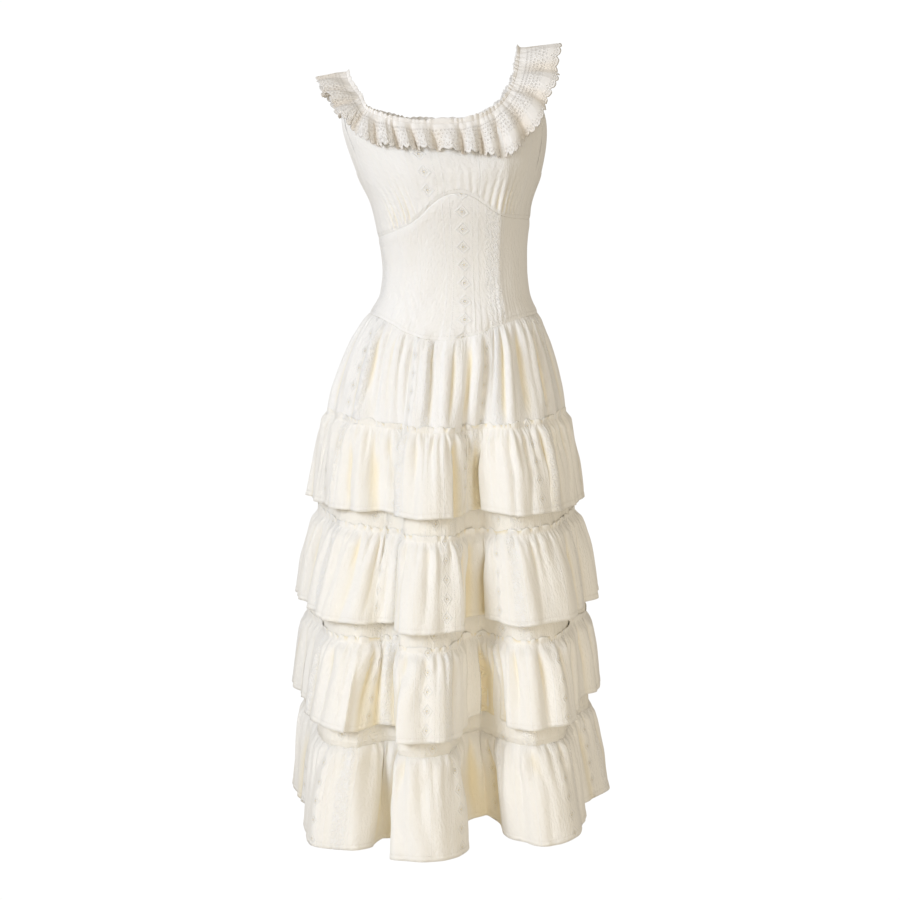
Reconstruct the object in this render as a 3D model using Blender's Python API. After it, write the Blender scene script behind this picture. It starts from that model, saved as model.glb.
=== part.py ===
"""Sleeveless tiered dress in thin cotton, cut as bust, midriff, under-skirt, four ruffle tiers and a neck ruffle.

Metres. +Z is up, the front faces -Y and the origin is midway between the shoulder crests.
Angles run round the dress in degrees: 0 at the front, 90 on the +X side, 180 at the back.
"""

import bpy
import numpy as np

# Cloth and seams
WALL = 0.0012
SEAM_HALF = 0.00016
TIER_SEAM = 0.0005
HEM_RISE = 0.12

# Heights of the body of the dress, from the shoulder crests down
UNDERARM = -0.187
UNDERBUST = -0.250
WAIST_SEAM = -0.405
WAIST_DIP = 0.034

# Neck edge and shoulders
NECK_HALF_WIDTH = 0.140
NECK_DROP = 0.097
NECK_FRONT = 0.098
NECK_BACK = 0.080
SHOULDER_TILT = 0.139
STRAP_ANGLE = 62.0
STRAP_WIDTH = 0.030
STRAP_STEP = 0.25
RUFFLE_HEAD = 0.007

# Counts
FRONT_COLUMNS = 64
BACK_COLUMNS = 20
RUFFLE_WAVES = 36
TIER_WAVES = 20
SKIRT_GATHERS = 22
BUST_GATHERS = 10

# Level sections: height, centre x, half width, front depth, back depth
SECTIONS = np.array([
    (-0.187, 0.028, 0.1470, 0.126, 0.098),
    (-0.230, 0.031, 0.1300, 0.121, 0.092),
    (-0.260, 0.033, 0.1240, 0.112, 0.086),
    (-0.300, 0.035, 0.1192, 0.101, 0.079),
    (-0.335, 0.037, 0.1172, 0.096, 0.077),
    (-0.370, 0.037, 0.1215, 0.097, 0.083),
    (-0.405, 0.035, 0.1370, 0.104, 0.095),
    (-0.450, 0.030, 0.1570, 0.117, 0.113),
    (-0.510, 0.026, 0.1780, 0.130, 0.130),
    (-0.570, 0.023, 0.1930, 0.143, 0.146),
    (-0.640, 0.023, 0.1995, 0.158, 0.158),
    (-0.709, 0.023, 0.2065, 0.174, 0.170),
    (-0.880, 0.023, 0.2280, 0.200, 0.196),
    (-1.042, 0.022, 0.2350, 0.225, 0.216),
    (-1.240, 0.030, 0.2490, 0.250, 0.236),
])

# Lines that run down the skirt: angle at tier 1, angle at the hem, push outwards at tier 1, push at the hem
FOLD_LINES = np.array([
    (-162.0, -163.0, -0.008, -0.030),
    (-141.0, -141.0, 0.009, 0.028),
    (-121.0, -122.0, -0.006, -0.018),
    (-103.0, -102.0, 0.008, 0.006),
    (-85.0, -84.0, 0.001, 0.000),
    (-68.0, -66.0, -0.006, -0.008),
    (-52.0, -50.0, 0.000, 0.040),
    (-42.0, -38.0, -0.006, 0.074),
    (-35.0, -29.0, -0.014, 0.062),
    (-30.0, -24.5, -0.018, -0.010),
    (-21.5, -18.0, -0.017, -0.022),
    (-17.0, -14.0, 0.010, 0.058),
    (-8.5, -8.0, 0.020, 0.060),
    (0.0, 0.5, 0.014, 0.034),
    (6.0, 4.0, -0.004, -0.020),
    (10.0, 8.0, -0.030, -0.082),
    (20.0, 21.0, -0.036, -0.098),
    (26.0, 26.0, -0.006, -0.004),
    (33.0, 31.0, 0.010, 0.042),
    (43.0, 40.0, 0.013, 0.042),
    (57.0, 53.0, 0.008, 0.004),
    (68.0, 65.0, 0.000, -0.022),
    (85.0, 86.0, 0.002, 0.006),
    (103.0, 103.0, 0.006, 0.006),
    (123.0, 124.0, -0.006, -0.018),
    (142.0, 141.0, 0.008, 0.026),
    (162.0, 161.0, -0.008, -0.028),
    (180.0, 180.0, 0.006, 0.022),
])

# Ruffle tiers: stitch height at front, at sides, hem at front, at sides, stand-out at hem, small frill height
TIERS = {
    "tier_1": (-0.580, -0.568, -0.709, -0.711, 0.014, 0.008),
    "tier_2": (-0.745, -0.734, -0.882, -0.876, 0.018, 0.008),
    "tier_3": (-0.913, -0.908, -1.045, -1.031, 0.018, 0.008),
    "tier_4": (-1.068, -1.064, -1.222, -1.212, 0.014, 0.000),
}


def ease(t):
    t = np.clip(t, 0.0, 1.0)
    return t * t * (3 - 2 * t)


def bend(x, xs, ys):
    """Smooth curve through points without overshoot: cubic between them, slopes by the harmonic mean."""
    steps = np.diff(xs)
    rises = np.diff(ys) / steps
    both = rises[:-1] * rises[1:]
    inner = np.where(both > 0, 2 * both / np.where(both > 0, rises[:-1] + rises[1:], 1.0), 0.0)
    slopes = np.concatenate([rises[:1], inner, rises[-1:]])
    i = np.clip(np.searchsorted(xs, x) - 1, 0, len(steps) - 1)
    t = (x - xs[i]) / steps[i]
    a = ys[i] + slopes[i] * steps[i] * t
    b = 3 * (ys[i + 1] - ys[i]) - (2 * slopes[i] + slopes[i + 1]) * steps[i]
    c = 2 * (ys[i] - ys[i + 1]) + (slopes[i] + slopes[i + 1]) * steps[i]
    return a + b * t**2 + c * t**3


def section(height, column):
    return bend(-height, -SECTIONS[:, 0], SECTIONS[:, column])


def power(value, exponent):
    return np.sign(value) * np.abs(value) ** exponent


def fold_push(angle, height):
    """How far the skirt is pushed out at each angle and height: none at the waist seam, most at the hem."""
    out = np.zeros(np.broadcast(angle, height).shape)
    angle = np.broadcast_to(angle, out.shape)
    height = np.broadcast_to(height, out.shape)
    for i in np.ndindex(out.shape[:-1]):
        level = height[i].mean()
        t = (-0.709 - level) / 0.509
        grown = ease((-0.43 - level) / 0.25) ** 1.2
        lines = FOLD_LINES[:, 0] + (FOLD_LINES[:, 1] - FOLD_LINES[:, 0]) * max(t, -0.2)
        pushes = grown * (FOLD_LINES[:, 2] + (FOLD_LINES[:, 3] - FOLD_LINES[:, 2]) * max(t, 0.0))
        xs = np.concatenate([lines[-3:] - 360, lines, lines[:3] + 360])
        ys = np.concatenate([pushes[-3:], pushes, pushes[:3]])
        out[i] = bend((angle[i] + 180) % 360 - 180, xs, ys)
    return out


def body(angle, height):
    """Points on the body of the dress below the underarm: level superellipses with the skirt folds added."""
    s = np.sin(np.radians(angle))
    c = np.cos(np.radians(angle))
    round_off = ease((-0.40 - height) / 0.15)
    exponent = 0.87 + 0.13 * round_off
    depth = np.where(c > 0, section(height, 3), section(height, 4))
    x = section(height, 2) * power(s, exponent)
    y = -depth * power(c, exponent)
    gathers = ease((-0.405 - height) / 0.05) * (1 - ease((-0.60 - height) / 0.12))
    wave = np.cos(SKIRT_GATHERS * np.radians(angle) + 0.9 * np.sin(3 * np.radians(angle)))
    push = fold_push(angle, height) + 0.0035 * gathers * wave
    length = np.hypot(x, y)
    x = x * (1 + push / length) + section(height, 1)
    y = y * (1 + push / length)
    return np.stack(np.broadcast_arrays(x, y, height), axis=-1)


def neck_edge(angle):
    """The neck edge: a wide scoop in front, the same at the back, tilted along the shoulders."""
    s = np.sin(np.radians(angle))
    c = np.cos(np.radians(angle))
    depth = np.where(c > 0, NECK_FRONT, NECK_BACK)
    x = NECK_HALF_WIDTH * power(s, 0.77) + 0.010 * c * c
    y = -depth * power(c, 0.80)
    z = SHOULDER_TILT * x * s * s - NECK_DROP * np.abs(c) ** 0.80
    return np.stack([x, y, z], axis=-1)


def yoke(angle, rise):
    """Points above the underarm. rise 0 is the underarm ring and 1 the neck edge; beside the arms it arches over."""
    angle, rise = np.broadcast_arrays(angle, rise)
    start = body(angle, np.full(angle.shape, UNDERARM))
    below = body(angle, np.full(angle.shape, UNDERARM - 0.004))
    up = (start - below) / 0.004
    end = neck_edge(angle)
    side = np.abs(np.sin(np.radians(angle)))[..., None] ** 3
    away = end * np.array([1.0, 1.0, 0.0])
    away /= np.linalg.norm(away, axis=-1, keepdims=True)
    lift = up * (0.030 + 0.108 * side)
    lean = away * (0.004 + 0.046 * side) + np.array([0, 0, -1.0]) * (0.026 - 0.018 * side)
    t = rise[..., None]
    inner = start + lift
    outer = end + lean
    return (1 - t)**3 * start + 3 * (1 - t)**2 * t * inner + 3 * (1 - t) * t**2 * outer + t**3 * end


def strap_rise(angle):
    """The rise that lies one strap width out from the neck edge."""
    length = np.linalg.norm(yoke(angle, 1.0) - yoke(angle, 0.9), axis=-1) / 0.1
    return 1 - STRAP_WIDTH / length


def facing(surface, angles):
    """Outward unit normals of a surface of rows that run down, from its slopes at each angle."""
    down = np.gradient(surface(angles), axis=0)
    along = surface(angles + 0.4) - surface(angles - 0.4)
    out = np.cross(down, along)
    return out / np.linalg.norm(out, axis=-1, keepdims=True)


def cloth_material(name, colour):
    material = bpy.data.materials.new(name)
    material.use_nodes = True
    shader = material.node_tree.nodes["Principled BSDF"]
    shader.inputs["Base Color"].default_value = (*colour, 1)
    shader.inputs["Roughness"].default_value = 0.85
    shader.inputs["Metallic"].default_value = 0
    return material


def cloth(name, surface, angles, material):
    """A closed wall of cloth: the outer grid, the same grid moved in by the wall, and the four edges between.

    Both grids are cut into triangles along the same diagonals, so that the two sides stay apart in the folds.
    """
    outer = surface(angles)
    rows, columns = outer.shape[:2]
    inner = outer - WALL * facing(surface, angles)
    points = np.concatenate([outer.reshape(-1, 3), inner.reshape(-1, 3)])
    index = np.arange(rows * columns).reshape(rows, columns)
    back = index + rows * columns
    quads = [(index[:-1, :-1], index[1:, :-1], index[1:, 1:], index[:-1, 1:])]
    quads.append((back[:-1, :-1], back[:-1, 1:], back[1:, 1:], back[1:, :-1]))
    quads.append((index[0, 1:], back[0, 1:], back[0, :-1], index[0, :-1]))
    quads.append((index[-1, :-1], back[-1, :-1], back[-1, 1:], index[-1, 1:]))
    quads.append((index[:-1, 0], back[:-1, 0], back[1:, 0], index[1:, 0]))
    quads.append((index[1:, -1], back[1:, -1], back[:-1, -1], index[:-1, -1]))
    corners = np.concatenate([np.stack([c.ravel() for c in quad], axis=1) for quad in quads])
    faces = np.concatenate([corners[:, [0, 1, 2]], corners[:, [0, 2, 3]]])
    mesh = bpy.data.meshes.new(name)
    mesh.from_pydata(points.tolist(), [], faces.tolist())
    mesh.materials.append(material)
    mesh.update()
    made = bpy.data.objects.new(name, mesh)
    bpy.context.scene.collection.objects.link(made)
    return made


def seam_angles(first, last, level):
    """Two angles drawn in by half the seam gap, measured on the body at a height."""
    radius = np.linalg.norm(body(np.array([first, last]), np.array([level, level]))[:, :2], axis=-1)
    gap = np.degrees(SEAM_HALF / radius)
    return first + gap[0], last - gap[1]


def fold_columns(first, last, count, level):
    """Angles spaced evenly along the folded cloth, so that steep folds keep enough points."""
    fine = np.linspace(first, last, 1500)
    curve = body(fine[None, :], np.full((1, 1500), level))[0]
    length = np.concatenate([[0], np.cumsum(np.linalg.norm(np.diff(curve, axis=0), axis=-1))])
    return np.interp(np.linspace(0, length[-1], count + 1), length, fine)


def underbust(angle):
    """Height of the underbust seam: a peak in the middle of the front, level round the back."""
    s = np.sin(np.radians(angle))
    front = np.cos(np.radians(angle)) > 0
    peak = 0.040 * np.exp(-(((angle - 3) / 21.0) ** 2))
    return UNDERBUST + 0.015 * s - 0.018 * s * s + np.where(front, peak, 0.0)


def waist_seam(angle):
    front = np.cos(np.radians(angle)) > 0
    return WAIST_SEAM - np.where(front, WAIST_DIP * np.exp(-(((angle + 6) / 34.0) ** 2)), 0.0)


def blend_rows(top, bottom, shares):
    shares = np.asarray(shares)[:, None]
    return top[None, :] * (1 - shares) + bottom[None, :] * shares


def stitch_line(tier, angles):
    front, side = TIERS[tier][:2]
    return side + (front - side) * np.cos(np.radians(angles)) ** 2


def make_bust(name, angles, shares_low, shares_up, material):
    """A bust panel: body rows below the underarm, yoke rows above, up to the neck edge and the armholes."""
    shares_low = np.asarray(shares_low)
    shares_up = np.asarray(shares_up)
    fade = np.concatenate([0 * shares_up, shares_low])[:, None] ** 1.5
    from_side = np.abs((np.abs((angles + 180) % 360 - 180)) - 90) / (90 - STRAP_ANGLE)
    arm = strap_rise(angles) * np.clip(from_side, 0, 1) ** 5
    top = np.where(from_side >= 1, 1.0, np.maximum(arm, 0.02))
    heights = blend_rows(np.full(angles.shape, UNDERARM), underbust(angles) + SEAM_HALF, shares_low)

    def plain(turned):
        up = yoke(turned[None, :], top[None, :] * shares_up[:, None])
        return np.concatenate([up, body(turned[None, :], heights)])

    def gathered(turned):
        wave = np.cos(2 * BUST_GATHERS * np.radians(turned))[None, :]
        front = np.cos(np.radians(turned)) > 0
        return plain(turned) + facing(plain, turned) * (0.0018 * fade * wave * front)[..., None]

    return cloth(name, gathered, angles, material)


def make_midriff(name, angles, material):
    shares = [0, 0.3, 0.6, 0.82, 1]

    def surface(turned):
        top = underbust(turned) - SEAM_HALF
        return body(turned[None, :], blend_rows(top, waist_seam(turned) + SEAM_HALF, shares))

    return cloth(name, surface, angles, material)


def make_skirt(name, angles, material):
    """A panel of the skirt that shows, from the waist seam to the first tier's stitches."""
    def surface(turned):
        top = waist_seam(turned) - SEAM_HALF
        rows = [top]
        rows += [np.minimum(np.full(turned.shape, level), top - 0.02) for level in (-0.47, -0.525)]
        rows.append(stitch_line("tier_1", turned) + SEAM_HALF)
        return body(turned[None, :], np.array(rows))

    return cloth(name, surface, angles, material)


def make_under_skirt(name, angles, material):
    """A panel of the under-skirt that carries the tiers, with a row of points at each tier's stitches."""
    def surface(turned):
        rows = [stitch_line(tier, turned) for tier in TIERS]
        rows[0] = rows[0] - SEAM_HALF
        rows[-1] = rows[-1] - 0.004
        return body(turned[None, :], np.array(rows))

    return cloth(name, surface, angles, material)


def make_tier(name, angles, material):
    """A ruffle tier lies one seam out from the under-skirt at its stitches and stands away towards its hem."""
    tier = name.rsplit("_", 1)[0]
    hem_front, hem_side, stand, frill = TIERS[tier][2:]
    number = int(tier[-1])
    shares = np.array([-0.05, 0.0, 0.12, 0.5, 1.0]) if frill else np.array([0.0, 0.12, 0.5, 1.0])

    def heights(turned):
        stitch = stitch_line(tier, turned)
        hem = hem_side + (hem_front - hem_side) * np.cos(np.radians(turned)) ** 2
        hem = hem + HEM_RISE * np.maximum(-fold_push(turned[None, :], hem[None, :])[0], 0)
        rows = blend_rows(stitch, hem, np.clip(shares, 0, 1))
        rows[0] += frill
        return rows

    def base(turned):
        return body(turned[None, :], heights(turned))

    def surface(turned):
        points = base(turned)
        radians = np.radians(turned)
        wave = np.cos(TIER_WAVES * radians + 0.8 * np.sin(2 * radians + number) + 1.7 * number)[None, :]
        fall = np.clip(shares, 0, 1)[:, None]
        away = WALL + TIER_SEAM + 0.0035 * ease(fall / 0.12) + 0.0035 * (shares < 0)[:, None]
        flare = (stand - 0.006) * fall**0.8 + 0.0035 * ease(fall / 0.6) * (1 + wave)
        outward = points.copy()
        outward[..., 0] -= section(points[..., 2], 1)
        outward[..., 2] = 0
        outward /= np.linalg.norm(outward, axis=-1, keepdims=True)
        return points + facing(base, turned) * away[..., None] + outward * flare[..., None]

    return cloth(name, surface, angles, material)


def make_strap(name, middle, material):
    """A shoulder strap over the crest, between the two bust panels, with its inner edge on the neck edge."""
    reach = 90 - STRAP_ANGLE - STRAP_STEP - np.degrees(2 * SEAM_HALF / 0.12)
    angles = middle + np.linspace(-reach, reach, 9)
    shares = np.array([0.0, 0.35, 0.7, 1.0])[:, None]

    def surface(turned):
        return yoke(turned[None, :], 1 - (1 - strap_rise(turned))[None, :] * shares)

    return cloth(name, surface, angles, material)


def make_ruffle(name, first, last, waves, material):
    """The neck ruffle: a small frill above its stitch line and a waved, deeper fall below it.

    On the chest it lies along the cloth below; over the shoulder it stands out straight.
    """
    angles = np.linspace(first, last, 4 * waves + 1)
    offsets = np.array([0.0, 0.0, 0.5, 1.0])[:, None]
    share = np.array([0.25, 0.0, 0.65, 1.0])[:, None]

    def base(turned):
        side = np.sin(np.radians(turned))
        length = np.linalg.norm(yoke(turned, 1.0) - yoke(turned, 0.9), axis=-1) / 0.1
        fall = 0.041 + np.where(side > 0, 0.016, 0.008) * side**2
        fall = fall + 0.030 * np.clip(side, 0, 1) * np.abs(np.cos(np.radians(turned)))
        reach = offsets * fall[None, :]
        lying = yoke(turned[None, :], 1 - reach / length[None, :])
        edge = yoke(turned, 1.0)
        out = yoke(turned, 1 - 0.012 / length) - edge
        out /= np.linalg.norm(out, axis=-1, keepdims=True)
        straight = edge[None] + out[None] * reach[..., None]
        mix = (0.85 * side**2)[None, :, None]
        points = lying * (1 - mix) + straight * mix
        points[0] = edge - out * RUFFLE_HEAD
        return points

    def surface(turned):
        wave = np.cos(RUFFLE_WAVES * np.radians(turned) + np.pi)[None, :]
        lift = 0.0018 + np.array([0.001, 0.0, 0.004, 0.006])[:, None] + 0.0055 * share * (1 + wave)
        return base(turned) + facing(base, turned) * lift[..., None]

    return cloth(name, surface, angles, material)


def make_pull(material):
    """The zip pull, a small flat disc that lies on the centre back just below the ruffle."""
    seat = yoke(np.array([180.0, 180.0]), np.array([0.42, 0.50]))
    up = (seat[1] - seat[0]) / np.linalg.norm(seat[1] - seat[0])
    across = np.array([1.0, 0.0, 0.0])
    out = np.cross(up, across)
    sides = 10
    turns = (np.arange(sides) * 2 * np.pi / sides)[:, None]
    ring = seat[0] + 0.0022 * np.cos(turns) * across + 0.0050 * np.sin(turns) * up
    points = np.concatenate([ring + 0.0016 * out, ring + 0.0004 * out])
    faces = [tuple(range(sides))[::-1], tuple(range(sides, 2 * sides))]
    faces += [(i, (i + 1) % sides, (i + 1) % sides + sides, i + sides) for i in range(sides)]
    mesh = bpy.data.meshes.new("zip_pull")
    mesh.from_pydata(points.tolist(), [], faces)
    mesh.materials.append(material)
    mesh.update()
    bpy.context.scene.collection.objects.link(bpy.data.objects.new("zip_pull", mesh))


def build():
    for old in list(bpy.data.objects):
        bpy.data.objects.remove(old, do_unlink=True)
    main = cloth_material("cream_cotton", (0.86, 0.84, 0.79))
    lace = cloth_material("eyelet_cotton", (0.84, 0.80, 0.75))
    metal = cloth_material("pull_metal", (0.75, 0.74, 0.70))
    low = [0, 0.35, 0.7, 1]
    up = [1, 0.66, 0.33]

    first, last = seam_angles(-90, 90, -0.22)
    edges = np.array([STRAP_ANGLE, STRAP_ANGLE + STRAP_STEP])
    angles = np.unique(np.concatenate([np.linspace(first, last, 40), edges, -edges]))
    make_bust("bust_front", angles, low, up, main)
    first, last = seam_angles(90, 180, -0.22)
    edges = 180 - edges
    right = np.unique(np.concatenate([np.linspace(first, last, 12), edges]))
    make_bust("bust_back_right", right, low, up, main)
    make_bust("bust_back_left", -right[::-1], low, up, main)

    first, last = seam_angles(-90, 90, -0.33)
    inner = angles[1:-1]
    make_midriff("midriff_front", np.concatenate([[first], inner, [last]]), main)
    first, last = seam_angles(90, 180, -0.33)
    right = np.concatenate([[first], right[1:-1], [last]])
    make_midriff("midriff_back_right", right, main)
    make_midriff("midriff_back_left", -right[::-1], main)

    make_strap("strap_right", 90, main)
    make_strap("strap_left", -90, main)

    first, last = seam_angles(-90, 90, -0.50)
    front = fold_columns(first, last, FRONT_COLUMNS, -1.10)
    make_skirt("skirt_front", front, main)
    make_under_skirt("under_skirt_front", front, main)
    first, last = seam_angles(90, 180, -0.50)
    right = fold_columns(first, last, BACK_COLUMNS, -1.10)
    make_skirt("skirt_back_right", right, main)
    make_under_skirt("under_skirt_back_right", right, main)
    first, last = seam_angles(-180, -90, -0.50)
    left = fold_columns(first, last, BACK_COLUMNS, -1.10)
    make_skirt("skirt_back_left", left, main)
    make_under_skirt("under_skirt_back_left", left, main)
    back = np.concatenate([right[:-1], [180.0], left[1:] + 360])
    for tier in TIERS:
        make_tier(tier + "_front", front, main)
        make_tier(tier + "_back", back, main)

    gap = 0.08
    make_ruffle("ruffle_front", -90 + gap, 90 - gap, 18, lace)
    make_ruffle("ruffle_back_right", 90 + gap, 180 - gap, 9, lace)
    make_ruffle("ruffle_back_left", -180 + gap, -90 - gap, 9, lace)
    make_pull(metal)


build()
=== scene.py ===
"""A sleeveless dress of cream striped cotton: an eyelet ruffle at the neck, a fitted bodice and four tiers.

Metres, +Z up, the front faces -Y. Angles run round the dress in degrees: 0 in front, 90 on the +X side,
180 at the back. A grid of cloth has rows that run down and columns that run to growing angle.
"""

import math

import bpy
import numpy as np
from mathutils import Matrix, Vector


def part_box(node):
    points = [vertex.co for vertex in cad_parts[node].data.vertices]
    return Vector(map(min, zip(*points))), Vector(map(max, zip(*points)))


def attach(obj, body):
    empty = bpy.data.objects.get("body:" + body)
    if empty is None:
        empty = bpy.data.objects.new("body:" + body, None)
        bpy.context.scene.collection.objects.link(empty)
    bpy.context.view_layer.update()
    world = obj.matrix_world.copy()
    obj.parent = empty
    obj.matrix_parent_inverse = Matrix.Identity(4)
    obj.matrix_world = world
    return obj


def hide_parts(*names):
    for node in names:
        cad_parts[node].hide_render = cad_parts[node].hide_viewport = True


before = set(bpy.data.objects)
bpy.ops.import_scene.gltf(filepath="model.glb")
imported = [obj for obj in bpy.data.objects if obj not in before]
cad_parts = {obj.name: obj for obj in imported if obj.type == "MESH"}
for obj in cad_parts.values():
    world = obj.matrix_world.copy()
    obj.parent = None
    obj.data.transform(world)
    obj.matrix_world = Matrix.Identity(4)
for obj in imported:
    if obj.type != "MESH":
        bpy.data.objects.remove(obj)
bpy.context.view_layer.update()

# ---------------------------------------------------------------------------------------------- Studio
# The dress hangs as if worn, in front of plain white paper, above a plain white floor. One large soft
# light stands high on the left, weak ones on the right and low in front, and warm light comes from all round.

CAMERA_PLACE = (0.029, -3.0, -0.136)
CAMERA_DOWN = math.radians(9.4)
CAMERA_LENS = 73.4
SENSOR = 36.0
FLOOR_HEIGHT = -1.62
FLOOR_RADIUS = 1.6
PAPER_RADIUS = 14.0
PAPER_SIDES = 48
PAPER_BANDS = 22
DRESS_MIDDLE = Vector((0.03, 0.0, -0.62))
SKIRT_MIDDLE = Vector((0.12, -0.1, -1.0))

scene = bpy.context.scene
scene.view_settings.view_transform = "Standard"
lens = bpy.data.cameras.new("camera")
lens.sensor_width = SENSOR
lens.lens = CAMERA_LENS
camera = bpy.data.objects.new("camera", lens)
camera.location = CAMERA_PLACE
camera.rotation_euler = (math.pi / 2 - CAMERA_DOWN, 0, 0)
scene.collection.objects.link(camera)
scene.camera = camera


def softbox(name, place, size, power, colour, faces=DRESS_MIDDLE, spread=180):
    """A square area light that faces a point. A grid in front narrows its light to the spread, in degrees."""
    light = bpy.data.lights.new(name, "AREA")
    light.size = size
    light.energy = power
    light.color = colour
    light.spread = math.radians(spread)
    lamp = bpy.data.objects.new(name, light)
    lamp.location = place
    lamp.rotation_euler = (faces - Vector(place)).to_track_quat("-Z", "Y").to_euler()
    scene.collection.objects.link(lamp)


softbox("key_light", (-3.1, -2.9, 1.1), 1.8, 123.0, (0.80, 0.872, 1.0))
softbox("fill_light", (3.2, -2.6, -0.6), 2.2, 1.2, (1.0, 0.95, 0.86), SKIRT_MIDDLE, 50)
softbox("low_light", (0.75, -3.0, -1.1), 1.2, 1.8, (1.0, 0.93, 0.80), SKIRT_MIDDLE, 50)
world = bpy.data.worlds.new("room")
world.use_nodes = True
world.node_tree.nodes["Background"].inputs["Color"].default_value = (1.0, 0.90, 0.745, 1)
world.node_tree.nodes["Background"].inputs["Strength"].default_value = 0.45
scene.world = world

white = bpy.data.materials.new("white_paper")
white.use_nodes = True
paper_shader = white.node_tree.nodes["Principled BSDF"]
paper_shader.inputs["Base Color"].default_value = (0, 0, 0, 1)
paper_shader.inputs["Roughness"].default_value = 1
paper_shader.inputs["Specular IOR Level"].default_value = 0
paper_shader.inputs["Emission Color"].default_value = (1, 1, 1, 1)
paper_shader.inputs["Emission Strength"].default_value = 1.03


def paper(name, points, faces):
    """A sheet of white paper that the camera sees and that neither lights nor shades the dress."""
    mesh = bpy.data.meshes.new(name)
    mesh.from_pydata(points.tolist(), [], faces)
    mesh.materials.append(white)
    made = bpy.data.objects.new(name, mesh)
    scene.collection.objects.link(made)
    made.visible_diffuse = False
    made.visible_glossy = False
    made.visible_transmission = False
    made.visible_volume_scatter = False
    made.visible_shadow = False


turn = np.linspace(0, 2 * np.pi, PAPER_SIDES, endpoint=False)
rim = np.stack([np.cos(turn), np.sin(turn), 0 * turn], axis=1)
bottom = tuple(range(PAPER_SIDES))
paper("floor", rim * FLOOR_RADIUS + (0, 0, FLOOR_HEIGHT), [bottom])
levels = np.radians(np.linspace(-88, 88, PAPER_BANDS + 1))
shell = np.concatenate([rim * np.cos(a) + (0, 0, np.sin(a)) for a in levels]) * PAPER_RADIUS
here = np.arange(PAPER_SIDES)
there = (here + 1) % PAPER_SIDES
starts = PAPER_SIDES * np.arange(PAPER_BANDS + 1)
bands = [np.stack([here + low, here + high, there + high, there + low], 1)
         for low, high in zip(starts, starts[1:])]
top = tuple(range(starts[-1], starts[-1] + PAPER_SIDES))[::-1]
paper("backdrop", shell, np.concatenate(bands).tolist() + [bottom, top])

# ------------------------------------------------------------------------------------------- Bust panels
# The bust front and the two bust backs are single layers of striped cotton. The front is gathered into
# the curved seam under the bust, most at its left and right. The backs meet in a seam with a hidden zip.

SHELL = 0.0007
LAP = 0.0014
UNDERARM = -0.187
UNDERBUST = -0.250
WAIST_SEAM = -0.405
WAIST_DIP = 0.034
NECK_HALF_WIDTH = 0.140
NECK_DROP = 0.097
NECK_FRONT = 0.098
NECK_BACK = 0.080
SHOULDER_TILT = 0.139
STRAP_ANGLE = 62.0
STRAP_WIDTH = 0.030
STRAP_STEP = 0.25
SKIRT_GATHERS = 22
PATCH_ROWS = 64
BUST_RIDGES = 84

# Where the neck edge comes in at the left: angle, width in degrees, how far
NECK_SLOPE = (-67, 18, 0.015)

# Level sections of the dress: height, centre x, half width, front depth, back depth
SECTIONS = np.array([
    (-0.187, 0.028, 0.1470, 0.126, 0.098),
    (-0.230, 0.031, 0.1300, 0.121, 0.092),
    (-0.260, 0.033, 0.1240, 0.112, 0.086),
    (-0.300, 0.035, 0.1192, 0.101, 0.079),
    (-0.335, 0.037, 0.1172, 0.096, 0.077),
    (-0.370, 0.037, 0.1215, 0.097, 0.083),
    (-0.405, 0.035, 0.1370, 0.104, 0.095),
    (-0.450, 0.030, 0.1570, 0.117, 0.113),
    (-0.510, 0.026, 0.1780, 0.130, 0.130),
    (-0.570, 0.023, 0.1930, 0.143, 0.146),
    (-0.640, 0.023, 0.1995, 0.158, 0.158),
    (-0.709, 0.023, 0.2065, 0.174, 0.170),
    (-0.880, 0.023, 0.2280, 0.200, 0.196),
    (-1.042, 0.022, 0.2350, 0.225, 0.216),
    (-1.240, 0.030, 0.2490, 0.250, 0.236),
])

# Lines of the large skirt folds: angle at tier 1, angle at the hem, push outwards at tier 1, push at the hem
FOLD_LINES = np.array([
    (-162.0, -163.0, -0.008, -0.030),
    (-141.0, -141.0, 0.009, 0.028),
    (-121.0, -122.0, -0.006, -0.018),
    (-103.0, -102.0, 0.008, 0.006),
    (-85.0, -84.0, 0.001, 0.000),
    (-68.0, -66.0, -0.006, -0.008),
    (-52.0, -50.0, 0.000, 0.040),
    (-42.0, -38.0, -0.006, 0.074),
    (-35.0, -29.0, -0.014, 0.062),
    (-30.0, -24.5, -0.018, -0.010),
    (-21.5, -18.0, -0.017, -0.022),
    (-17.0, -14.0, 0.010, 0.058),
    (-8.5, -8.0, 0.020, 0.060),
    (0.0, 0.5, 0.014, 0.034),
    (6.0, 4.0, -0.004, -0.020),
    (10.0, 8.0, -0.030, -0.082),
    (20.0, 21.0, -0.036, -0.098),
    (26.0, 26.0, -0.006, -0.004),
    (33.0, 31.0, 0.010, 0.042),
    (43.0, 40.0, 0.013, 0.042),
    (57.0, 53.0, 0.008, 0.004),
    (68.0, 65.0, 0.000, -0.022),
    (85.0, 86.0, 0.002, 0.006),
    (103.0, 103.0, 0.006, 0.006),
    (123.0, 124.0, -0.006, -0.018),
    (142.0, 141.0, 0.008, 0.026),
    (162.0, 161.0, -0.008, -0.028),
    (180.0, 180.0, 0.006, 0.022),
])

# Gathers under the bust: angle, height of the folds, how far they reach up
BUST_FOLDS = np.array([
    (-75.0, 0.0001, 0.030),
    (-53.0, 0.0006, 0.050),
    (-47.0, 0.0048, 0.060),
    (-28.0, 0.0050, 0.070),
    (-22.0, 0.0009, 0.040),
    (-6.0, 0.0015, 0.034),
    (8.0, 0.0018, 0.034),
    (22.0, 0.0016, 0.036),
    (28.0, 0.0046, 0.048),
    (43.0, 0.0044, 0.050),
    (49.0, 0.0006, 0.040),
    (75.0, 0.0001, 0.030),
])


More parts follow.
